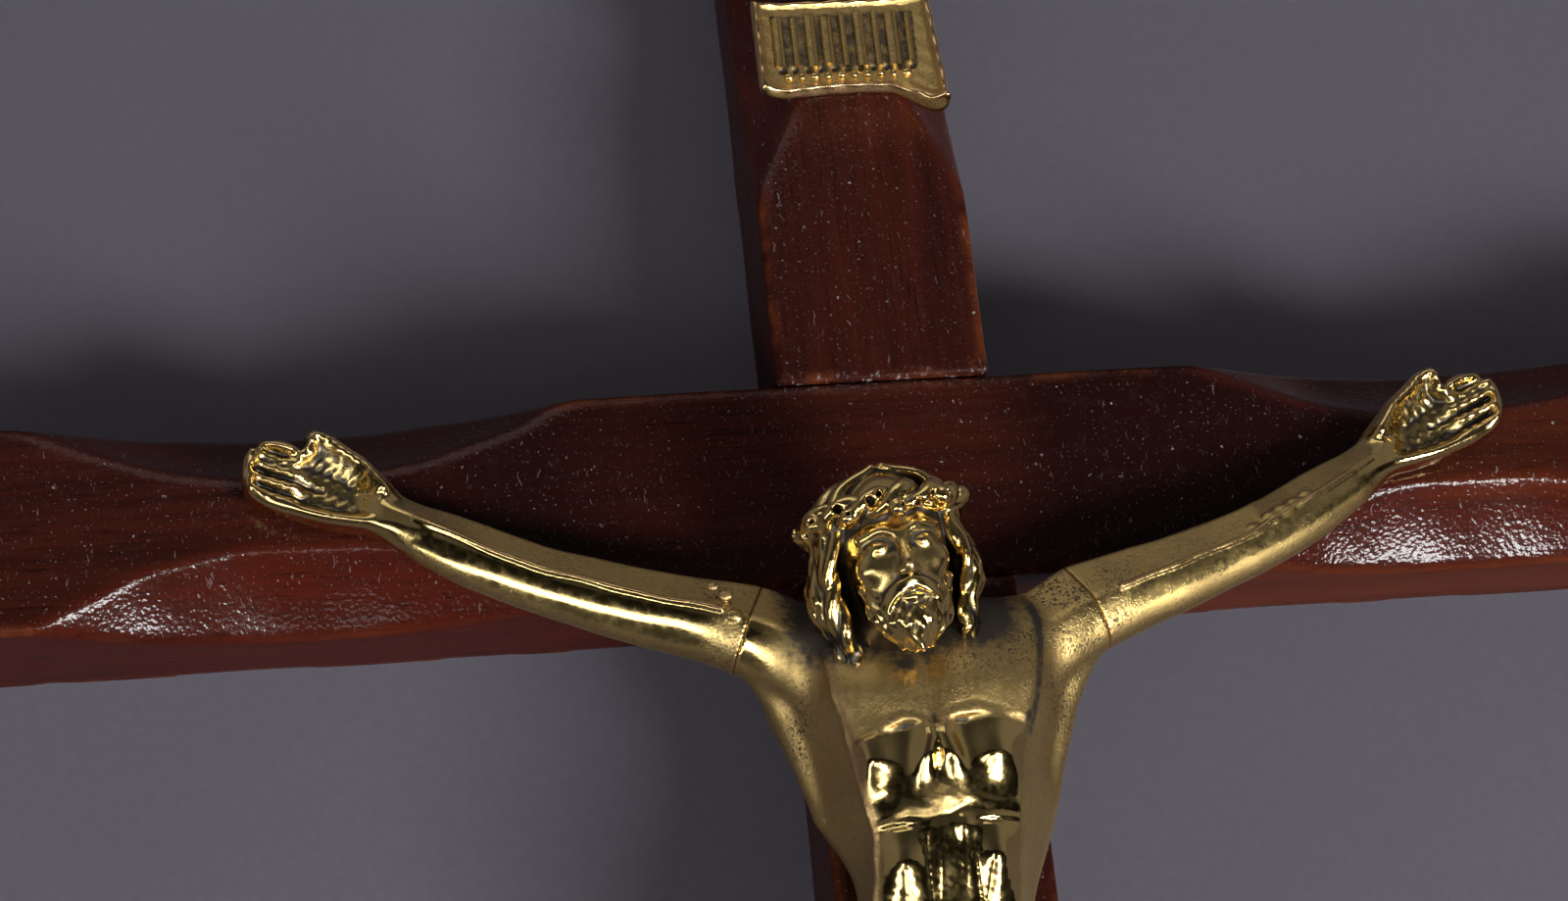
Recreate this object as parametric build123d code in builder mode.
"""A wall crucifix: two lapped wooden bars, a cast brass corpus and a titulus plate."""

import os
from math import hypot

from build123d import *

os.makedirs("parts", exist_ok=True)

# The cross stands upright with its back on the XZ plane and its front towards -Y.
# The origin lies on the back, where the middle lines of the two bars cross.

# Both bars are planed from one size of stock and meet in a half lap.
stock_width = 19
stock_thick = 13
beam_length = 184
cross_height = 300
upper_reach = beam_length / 2
lower_reach = cross_height - upper_reach
lap_depth = stock_thick / 2
lap_clearance = 0.15
overrun = 2

# A sanding drum, tilted across each front edge, leaves the long scallops.
scallop_length = 48
scallop_face_cut = 6.4
scallop_side_cut = 5.6
scallop_reach = 51.5
scallop_end_land = upper_reach - scallop_reach
scallop_width = hypot(scallop_face_cut, scallop_side_cut)
scallop_depth = scallop_face_cut * scallop_side_cut / scallop_width
drum_radius = ((scallop_length / 2) ** 2 + scallop_depth**2) / (2 * scallop_depth)

# The cross hangs on a nail in a blind hole in the back of the upright.
hang_drop = 30
hang_height = upper_reach - hang_drop
hang_radius = 3
hang_depth = 8

# Two countersunk screws from behind draw the corpus against the upright.
screw_radius = 2
screw_head_radius = 3.8
screw_head_angle = 90
screw_bite = 5
screw_clearance = 0.3
thread_clearance = 0.05
screw_sink = screw_clearance - thread_clearance
screw_head_rise = screw_head_radius - screw_radius
screw_length = stock_thick + screw_bite - screw_sink
slot_width = 0.9
slot_depth = 0.8
pad_radius = 4
pad_depth = 6

# Pegs cast on the hands and on the plate stand in blind holes in the wood.
peg_radius = 1
peg_length = 4
peg_clearance = 0.1
hand_pad_radius = 1.6

# The arms are cast apart and brazed on, each with a tenon in its shoulder.
tenon_radius = 1.7
tenon_length = 5
tenon_clearance = 0.05

# The titulus is a thin plate with curled ends, hollowed edges and a raised rim.
plate_width = 16.4
plate_height = 10.2
plate_thick = 1
plate_drop = 49.8
plate_middle = upper_reach - plate_drop
plate_hollow = 0.9
curl_run = 2.6
curl_rise = 0.8
rim_width = 0.8
rim_rise = 0.35
plate_peg_spread = 2.4

# The figure is drawn in head units: across from the middle of the upright,
# out from its front face, up from the crossing, then half the width and depth.
figure_height = 116
head_share = 0.125
head = head_share * figure_height
axis_share = -0.04

# The torso has a flat front between two ridges, and flanks that slope back from them.
torso_outline_shares = ((0.76, -1.0), (1.0, 0.15), (0.7, 1.0), (-0.7, 1.0), (-1.0, 0.15), (-0.76, -1.0))
torso_round_share = 0.16
torso_shares = (
    (axis_share, 0.53, -0.92, 0.26, 0.20),
    (axis_share, 0.49, -1.03, 0.45, 0.26),
    (axis_share, 0.46, -1.19, 0.66, 0.34),
    (axis_share, 0.47, -1.42, 0.77, 0.40),
    (axis_share, 0.49, -1.72, 0.76, 0.42),
    (axis_share, 0.48, -2.07, 0.68, 0.41),
    (axis_share, 0.44, -2.48, 0.575, 0.37),
    (axis_share, 0.41, -2.90, 0.50, 0.33),
    (axis_share, 0.40, -3.25, 0.48, 0.32),
    (axis_share, 0.40, -3.55, 0.46, 0.30),
    (axis_share, 0.40, -3.80, 0.40, 0.26),
)
# The chest stands proud and ends in a ledge; three soft columns run down the belly.
chest_shares = (
    (axis_share, 0.60, -1.24, 0.40, 0.18),
    (axis_share, 0.66, -1.44, 0.53, 0.24),
    (axis_share, 0.69, -1.72, 0.57, 0.265),
    (axis_share, 0.69, -1.94, 0.54, 0.255),
    (axis_share, 0.68, -1.99, 0.50, 0.235),
)
belly_shares = (
    (axis_share, 0.66, -2.36, 0.11, 0.11),
    (axis_share, 0.66, -2.48, 0.15, 0.19),
    (axis_share, 0.61, -2.90, 0.15, 0.17),
    (axis_share, 0.59, -3.30, 0.15, 0.17),
    (axis_share, 0.60, -3.60, 0.14, 0.15),
)
belly_column_shares = (-0.29, 0, 0.29)
neck_shares = (
    (-0.05, 0.50, -1.16, 0.27, 0.24),
    (-0.10, 0.64, -1.00, 0.23, 0.215),
    (-0.17, 0.80, -0.90, 0.215, 0.205),
    (-0.21, 0.98, -0.84, 0.21, 0.20),
)
# The face and the beard, from the beard's tip up to the crown.
face_shares = (
    (-0.17, 0.90, -1.47, 0.07, 0.08),
    (-0.18, 0.93, -1.36, 0.17, 0.18),
    (-0.20, 0.96, -1.22, 0.26, 0.27),
    (-0.23, 1.00, -1.02, 0.34, 0.36),
    (-0.26, 1.05, -0.82, 0.375, 0.41),
    (-0.29, 1.10, -0.62, 0.36, 0.395),
    (-0.31, 1.14, -0.50, 0.26, 0.28),
    (-0.32, 1.13, -0.44, 0.10, 0.12),
)
nose_shares = (
    (-0.265, 1.43, -0.83, 0.035, 0.04),
    (-0.245, 1.42, -0.95, 0.05, 0.06),
    (-0.23, 1.38, -1.03, 0.065, 0.07),
    (-0.225, 1.32, -1.07, 0.05, 0.055),
)
# The hair hangs behind the face and falls in a lock on each shoulder.
hair_shares = (
    (-0.31, 1.05, -0.40, 0.18, 0.16),
    (-0.30, 1.01, -0.52, 0.38, 0.30),
    (-0.28, 0.96, -0.72, 0.50, 0.36),
    (-0.265, 0.90, -0.92, 0.55, 0.34),
    (-0.25, 0.82, -1.12, 0.50, 0.29),
    (-0.22, 0.72, -1.30, 0.38, 0.22),
)
right_lock_shares = (
    (-0.56, 0.92, -0.98, 0.09, 0.08),
    (-0.67, 0.95, -1.08, 0.125, 0.115),
    (-0.64, 0.92, -1.22, 0.12, 0.11),
    (-0.58, 0.88, -1.38, 0.09, 0.08),
    (-0.53, 0.83, -1.54, 0.05, 0.045),
)
left_lock_shares = (
    (0.05, 0.93, -0.95, 0.09, 0.08),
    (0.16, 0.97, -1.04, 0.125, 0.115),
    (0.20, 0.94, -1.16, 0.115, 0.105),
    (0.24, 0.88, -1.30, 0.08, 0.07),
    (0.30, 0.84, -1.40, 0.045, 0.04),
)
wreath_spot_shares = (-0.32, 1.06, -0.62)
wreath_ring_share = 0.425
wreath_rope_share = 0.08

# Each arm runs from inside its shoulder to the knuckles, written for one side.
arm_shares = (
    (0.42, 0.46, -1.40, 0.26, 0.25),
    (0.76, 0.46, -1.23, 0.265, 0.255),
    (1.02, 0.455, -1.10, 0.25, 0.24),
    (1.32, 0.445, -0.99, 0.23, 0.22),
    (1.62, 0.42, -0.885, 0.215, 0.205),
    (1.92, 0.385, -0.77, 0.20, 0.19),
    (2.18, 0.355, -0.655, 0.19, 0.185),
    (2.55, 0.305, -0.46, 0.185, 0.175),
    (2.85, 0.25, -0.28, 0.155, 0.145),
    (3.06, 0.20, -0.14, 0.13, 0.115),
    (3.24, 0.175, -0.02, 0.17, 0.11),
    (3.42, 0.165, 0.07, 0.215, 0.105),
    (3.58, 0.16, 0.12, 0.21, 0.095),
    (3.66, 0.155, 0.14, 0.175, 0.08),
)
stub_count = 3
right_reach_share = -1.0
left_reach_share = 0.975
hand_peg_shares = (3.40, 0.05)
hand_pad_top_share = 0.16
# The four closed fingers start at the knuckles, side by side across the palm.
finger_root_shares = (3.56, 0.155, 0.115)
finger_turn_shares = (0.96, 0.28)
finger_spread_shares = (-0.16, -0.055, 0.05, 0.15)
finger_length_shares = (0.27, 0.33, 0.35, 0.30)
finger_radius_share = 0.06
finger_taper_shares = ((-0.25, 0.9), (0.3, 1.0), (0.75, 0.95), (0.94, 0.75), (1.0, 0.4))
thumb_shares = (
    (3.17, 0.19, 0.05, 0.075, 0.07),
    (3.29, 0.215, 0.20, 0.08, 0.075),
    (3.38, 0.22, 0.33, 0.07, 0.065),
    (3.44, 0.21, 0.42, 0.045, 0.04),
)

# The legs are bent a little at the knee and the feet are laid one over the other.
right_leg_shares = (
    (-0.31, 0.45, -4.25, 0.27, 0.26),
    (-0.32, 0.48, -4.60, 0.27, 0.26),
    (-0.30, 0.56, -5.10, 0.235, 0.23),
    (-0.27, 0.64, -5.60, 0.195, 0.19),
    (-0.26, 0.65, -5.88, 0.185, 0.18),
    (-0.23, 0.56, -6.25, 0.175, 0.17),
    (-0.20, 0.47, -6.60, 0.17, 0.165),
    (-0.13, 0.38, -7.05, 0.12, 0.115),
    (-0.09, 0.35, -7.30, 0.11, 0.105),
)
right_foot_shares = (
    (-0.09, 0.34, -7.22, 0.115, 0.11),
    (-0.06, 0.37, -7.48, 0.135, 0.125),
    (-0.03, 0.38, -7.72, 0.155, 0.105),
    (-0.01, 0.36, -7.92, 0.15, 0.075),
    (0.00, 0.335, -8.04, 0.10, 0.045),
)
left_leg_shares = (
    (0.23, 0.45, -4.25, 0.27, 0.26),
    (0.24, 0.48, -4.60, 0.27, 0.26),
    (0.22, 0.54, -5.10, 0.235, 0.23),
    (0.19, 0.58, -5.60, 0.195, 0.19),
    (0.18, 0.57, -5.88, 0.185, 0.18),
    (0.16, 0.44, -6.25, 0.175, 0.17),
    (0.14, 0.32, -6.60, 0.17, 0.165),
    (0.07, 0.20, -7.05, 0.12, 0.115),
    (0.04, 0.165, -7.30, 0.11, 0.105),
)
left_foot_shares = (
    (0.04, 0.16, -7.22, 0.115, 0.11),
    (0.03, 0.16, -7.48, 0.13, 0.12),
    (0.02, 0.16, -7.74, 0.15, 0.10),
    (0.01, 0.16, -7.96, 0.145, 0.075),
    (0.00, 0.155, -8.10, 0.10, 0.045),
)
# The cloth is wound round the hips and knotted on the figure's right.
cloth_shares = (
    (axis_share, 0.43, -3.44, 0.53, 0.36),
    (axis_share, 0.455, -3.58, 0.60, 0.42),
    (axis_share, 0.465, -3.95, 0.645, 0.44),
    (axis_share, 0.475, -4.35, 0.645, 0.435),
    (axis_share, 0.48, -4.66, 0.61, 0.41),
    (axis_share, 0.48, -4.80, 0.54, 0.36),
)
knot_shares = (
    (-0.52, 0.58, -3.60, 0.12, 0.11),
    (-0.62, 0.59, -3.70, 0.16, 0.15),
    (-0.69, 0.57, -3.84, 0.15, 0.14),
    (-0.70, 0.53, -3.98, 0.11, 0.10),
)
tail_shares = (
    (-0.67, 0.54, -3.82, 0.11, 0.09),
    (-0.72, 0.50, -4.20, 0.14, 0.09),
    (-0.74, 0.47, -4.60, 0.16, 0.08),
    (-0.74, 0.46, -4.95, 0.15, 0.06),
)
screw_up_shares = (-1.90, -4.15)


def spot(across, out, up):
    """A place on the figure, from head units to the cross's own frame."""
    return Vector(across * head, -(stock_thick + out * head), up * head)


def limb_planes(stations):
    """A plane at each station, square to the line that joins its neighbours."""
    points = [spot(across, out, up) for across, out, up, _, _ in stations]
    before = points[:1] + points[:-1]
    after = points[1:] + points[-1:]
    planes = []
    for point, last, following in zip(points, before, after):
        along = (following - last).normalized()
        planes.append(Plane(point, x_dir=Vector(0, 1, 0).cross(along), z_dir=along))
    return planes


def limb_sections(stations):
    """The ellipse across a limb at each of its stations."""
    sections = []
    for plane, (_, _, _, half_width, half_depth) in zip(limb_planes(stations), stations):
        with BuildSketch(plane) as section:
            Ellipse(half_width * head, half_depth * head)
        sections.append(section.sketch)
    return sections


def torso_sections():
    """The outline across the torso at each of its stations."""
    sections = []
    for plane, (_, _, _, half_width, half_depth) in zip(limb_planes(torso_shares), torso_shares):
        corners = [(x * half_width * head, y * half_depth * head) for x, y in torso_outline_shares]
        with BuildSketch(plane) as section:
            with BuildLine():
                Polyline(*corners, close=True)
            make_face()
            fillet(section.vertices(), torso_round_share * half_depth * head)
        sections.append(section.sketch)
    return sections


def shifted(stations, share):
    """The same stations, moved across the figure."""
    return [(across + share, *rest) for across, *rest in stations]


def sided(stations, reach):
    """The stations of an arm, mirrored or drawn in by the reach, off the middle line."""
    placed = []
    for across, out, up, half_width, half_depth in stations:
        placed.append((axis_share + reach * across, out, up, half_width, half_depth))
    return placed


def finger_stations(spread, length):
    """One finger, from the knuckle to a rounded tip, in the line of the hand."""
    root_across, root_out, root_up = finger_root_shares
    turn_across, turn_up = finger_turn_shares
    across = root_across - spread * turn_up
    up = root_up + spread * turn_across
    stations = []
    for reach, swell in finger_taper_shares:
        step = reach * length
        radius = swell * finger_radius_share
        stations.append((across + step * turn_across, root_out, up + step * turn_up, radius, radius))
    return stations


def hand_spot(reach):
    """The place of a hand's peg on the front of the crossbeam."""
    across, up = hand_peg_shares
    return ((axis_share + reach * across) * head, up * head)


def drum_plane(along, side):
    """The plane whose normal is the axis of the drum that cuts one scallop."""
    front = Vector(0, -1, 0)
    edge = along + side * (stock_width / 2) + front * stock_thick
    face_point = edge - side * scallop_face_cut
    side_point = edge - front * scallop_side_cut
    outward = (front * scallop_face_cut + side * scallop_side_cut).normalized()
    middle = (face_point + side_point) / 2
    return Plane(middle + outward * drum_radius, z_dir=side_point - face_point)


back = Plane.back
front = Plane.front.offset(stock_thick)


with BuildPart() as upright:
    with BuildSketch(Plane.front):
        with Locations((0, (upper_reach - lower_reach) / 2)):
            Rectangle(stock_width, cross_height)
    extrude(amount=stock_thick)
    # The front half is let out for the crossbeam.
    with BuildSketch(Plane.front.offset(lap_depth)):
        Rectangle(stock_width + overrun, stock_width + 2 * lap_clearance)
    extrude(amount=lap_depth + overrun, mode=Mode.SUBTRACT)
    for reach in (scallop_reach, scallop_end_land - lower_reach):
        for side in (-1, 1):
            with Locations(drum_plane(Vector(0, 0, reach), Vector(side, 0, 0))):
                Cylinder(drum_radius, scallop_width + 2 * overrun, mode=Mode.SUBTRACT)
    with Locations(back):
        with Locations((0, hang_height)):
            Hole(hang_radius, hang_depth)
        with Locations(*[(0, share * head) for share in screw_up_shares]):
            CounterSinkHole(
                screw_radius + screw_clearance,
                screw_head_radius + screw_clearance,
                counter_sink_angle=screw_head_angle,
            )
    with Locations(front):
        with Locations((-plate_peg_spread, plate_middle), (plate_peg_spread, plate_middle)):
            Hole(peg_radius + peg_clearance, peg_length + overrun)
upright.part.label = "upright"
export_step(upright.part, "parts/upright.step")

with BuildPart() as crossbeam:
    with BuildSketch(Plane.front):
        Rectangle(beam_length, stock_width)
    extrude(amount=stock_thick)
    with BuildSketch(Plane.front.offset(-overrun)):
        Rectangle(stock_width + 2 * lap_clearance, stock_width + overrun)
    extrude(amount=lap_depth + overrun, mode=Mode.SUBTRACT)
    for reach in (-scallop_reach, scallop_reach):
        for side in (-1, 1):
            with Locations(drum_plane(Vector(reach, 0, 0), Vector(0, 0, side))):
                Cylinder(drum_radius, scallop_width + 2 * overrun, mode=Mode.SUBTRACT)
    with Locations(front):
        with Locations(hand_spot(right_reach_share), hand_spot(left_reach_share)):
            Hole(peg_radius + peg_clearance, peg_length + overrun)
crossbeam.part.label = "crossbeam"
export_step(crossbeam.part, "parts/crossbeam.step")

right_arm_stations = sided(arm_shares, right_reach_share)
left_arm_stations = sided(arm_shares, left_reach_share)
right_joint = limb_planes(right_arm_stations)[stub_count - 1]
left_joint = limb_planes(left_arm_stations)[stub_count - 1]
screw_spots = [(0, share * head) for share in screw_up_shares]

with BuildPart() as corpus_body:
    # The head comes first: hair, face and the wreath, a rope laid square to its axis.
    for stations in (hair_shares, face_shares):
        loft(limb_sections(stations))
    head_axis = spot(*face_shares[-1][:3]) - spot(*face_shares[0][:3])
    with Locations(Plane(spot(*wreath_spot_shares), x_dir=Vector(0, 1, 0), z_dir=head_axis)):
        Torus(wreath_ring_share * head, wreath_rope_share * head)
    for stations in (nose_shares, right_lock_shares, left_lock_shares, neck_shares):
        loft(limb_sections(stations))
    loft(torso_sections())
    loft(limb_sections(chest_shares))
    for share in belly_column_shares:
        loft(limb_sections(shifted(belly_shares, share)))
    for stations in (right_arm_stations, left_arm_stations):
        loft(limb_sections(stations)[:stub_count])
    for stations in (right_leg_shares, left_leg_shares, right_foot_shares, left_foot_shares):
        loft(limb_sections(stations))
    for stations in (cloth_shares, knot_shares, tail_shares):
        loft(limb_sections(stations))
    # Round pads behind the chest and the hips rest on the wood and take the screws.
    with BuildSketch(front):
        with Locations(*screw_spots):
            Circle(pad_radius)
    extrude(amount=pad_depth)
    with BuildSketch(front):
        with Locations(*screw_spots):
            Circle(screw_radius + thread_clearance)
    extrude(amount=screw_bite + overrun, mode=Mode.SUBTRACT)
    for joint in (right_joint, left_joint):
        with BuildSketch(joint):
            Circle(tenon_radius + tenon_clearance)
        extrude(amount=-(tenon_length + tenon_clearance), mode=Mode.SUBTRACT)
corpus_body.part.label = "corpus_body"
export_step(corpus_body.part, "parts/corpus_body.step")


def cast_arm(reach):
    """One arm with its hand, the tenon for the shoulder and the peg for the wood."""
    stations = sided(arm_shares, reach)
    loft(limb_sections(stations)[stub_count - 1 :])
    loft(limb_sections(sided(thumb_shares, reach)))
    for spread, length in zip(finger_spread_shares, finger_length_shares):
        loft(limb_sections(sided(finger_stations(spread, length), reach)))
    with BuildSketch(limb_planes(stations)[stub_count - 1]) as tenon:
        Circle(tenon_radius)
    extrude(tenon.sketch, amount=-tenon_length)
    with BuildSketch(front) as pad:
        with Locations(hand_spot(reach)):
            Circle(hand_pad_radius)
    extrude(pad.sketch, amount=hand_pad_top_share * head)
    with BuildSketch(front) as peg:
        with Locations(hand_spot(reach)):
            Circle(peg_radius)
    extrude(peg.sketch, amount=-peg_length)


# The arms are named for the figure's own right and left.
with BuildPart() as right_arm:
    cast_arm(right_reach_share)
right_arm.part.label = "corpus_right_arm"
export_step(right_arm.part, "parts/corpus_right_arm.step")

with BuildPart() as left_arm:
    cast_arm(left_reach_share)
left_arm.part.label = "corpus_left_arm"
export_step(left_arm.part, "parts/corpus_left_arm.step")

with BuildPart() as corpus_screws:
    with Locations(back.offset(-screw_sink)):
        with Locations(*screw_spots):
            top = (Align.CENTER, Align.CENTER, Align.MAX)
            Cylinder(screw_radius, screw_length, align=top)
            Cone(screw_radius, screw_head_radius, screw_head_rise, align=top)
            Box(2 * screw_head_radius, slot_width, slot_depth, align=top, mode=Mode.SUBTRACT)
corpus_screws.part.label = "corpus_screws"
export_step(corpus_screws.part, "parts/corpus_screws.step")


def curled_strip(near, far):
    """A strip seen from above, between two distances from the wood, ends curled forward."""
    half = plate_width / 2
    flat = half - curl_run
    low = -stock_thick - near
    high = -stock_thick - far
    with BuildSketch(Plane.XY.offset(plate_middle - plate_height / 2)) as strip:
        with BuildLine():
            inner = Line((-flat, low), (flat, low))
            inner_right = TangentArc(inner @ 1, (half, low - curl_rise), tangent=inner % 1)
            outer = Line((-flat, high), (flat, high))
            outer_right = TangentArc(outer @ 1, (half, high - curl_rise), tangent=outer % 1)
            Line(inner_right @ 1, outer_right @ 1)
            inner_left = TangentArc(inner @ 0, (-half, low - curl_rise), tangent=-(inner % 0))
            outer_left = TangentArc(outer @ 0, (-half, high - curl_rise), tangent=-(outer % 0))
            Line(inner_left @ 1, outer_left @ 1)
        make_face()
    return strip.sketch


def plate_outline(inset):
    """The plate from the front, its long edges hollowed between pointed corners."""
    x = plate_width / 2 - inset
    z = plate_height / 2 - inset
    waist = z - plate_hollow
    with BuildSketch(front) as outline:
        with BuildLine():
            ThreePointArc((-x, plate_middle + z), (0, plate_middle + waist), (x, plate_middle + z))
            Line((x, plate_middle + z), (x, plate_middle - z))
            ThreePointArc((x, plate_middle - z), (0, plate_middle - waist), (-x, plate_middle - z))
            Line((-x, plate_middle - z), (-x, plate_middle + z))
        make_face()
    return outline.sketch


# The hollow field inside the rim follows the curl of the plate.
with BuildPart() as field:
    extrude(curled_strip(plate_thick, plate_thick + overrun), amount=plate_height)
    extrude(plate_outline(rim_width), amount=stock_thick, mode=Mode.INTERSECT)

with BuildPart() as titulus:
    extrude(curled_strip(0, plate_thick + rim_rise), amount=plate_height)
    extrude(plate_outline(0), amount=stock_thick, mode=Mode.INTERSECT)
    add(field.part, mode=Mode.SUBTRACT)
    with BuildSketch(front):
        with Locations((-plate_peg_spread, plate_middle), (plate_peg_spread, plate_middle)):
            Circle(peg_radius)
    extrude(amount=-peg_length)
titulus.part.label = "titulus"
export_step(titulus.part, "parts/titulus.step")
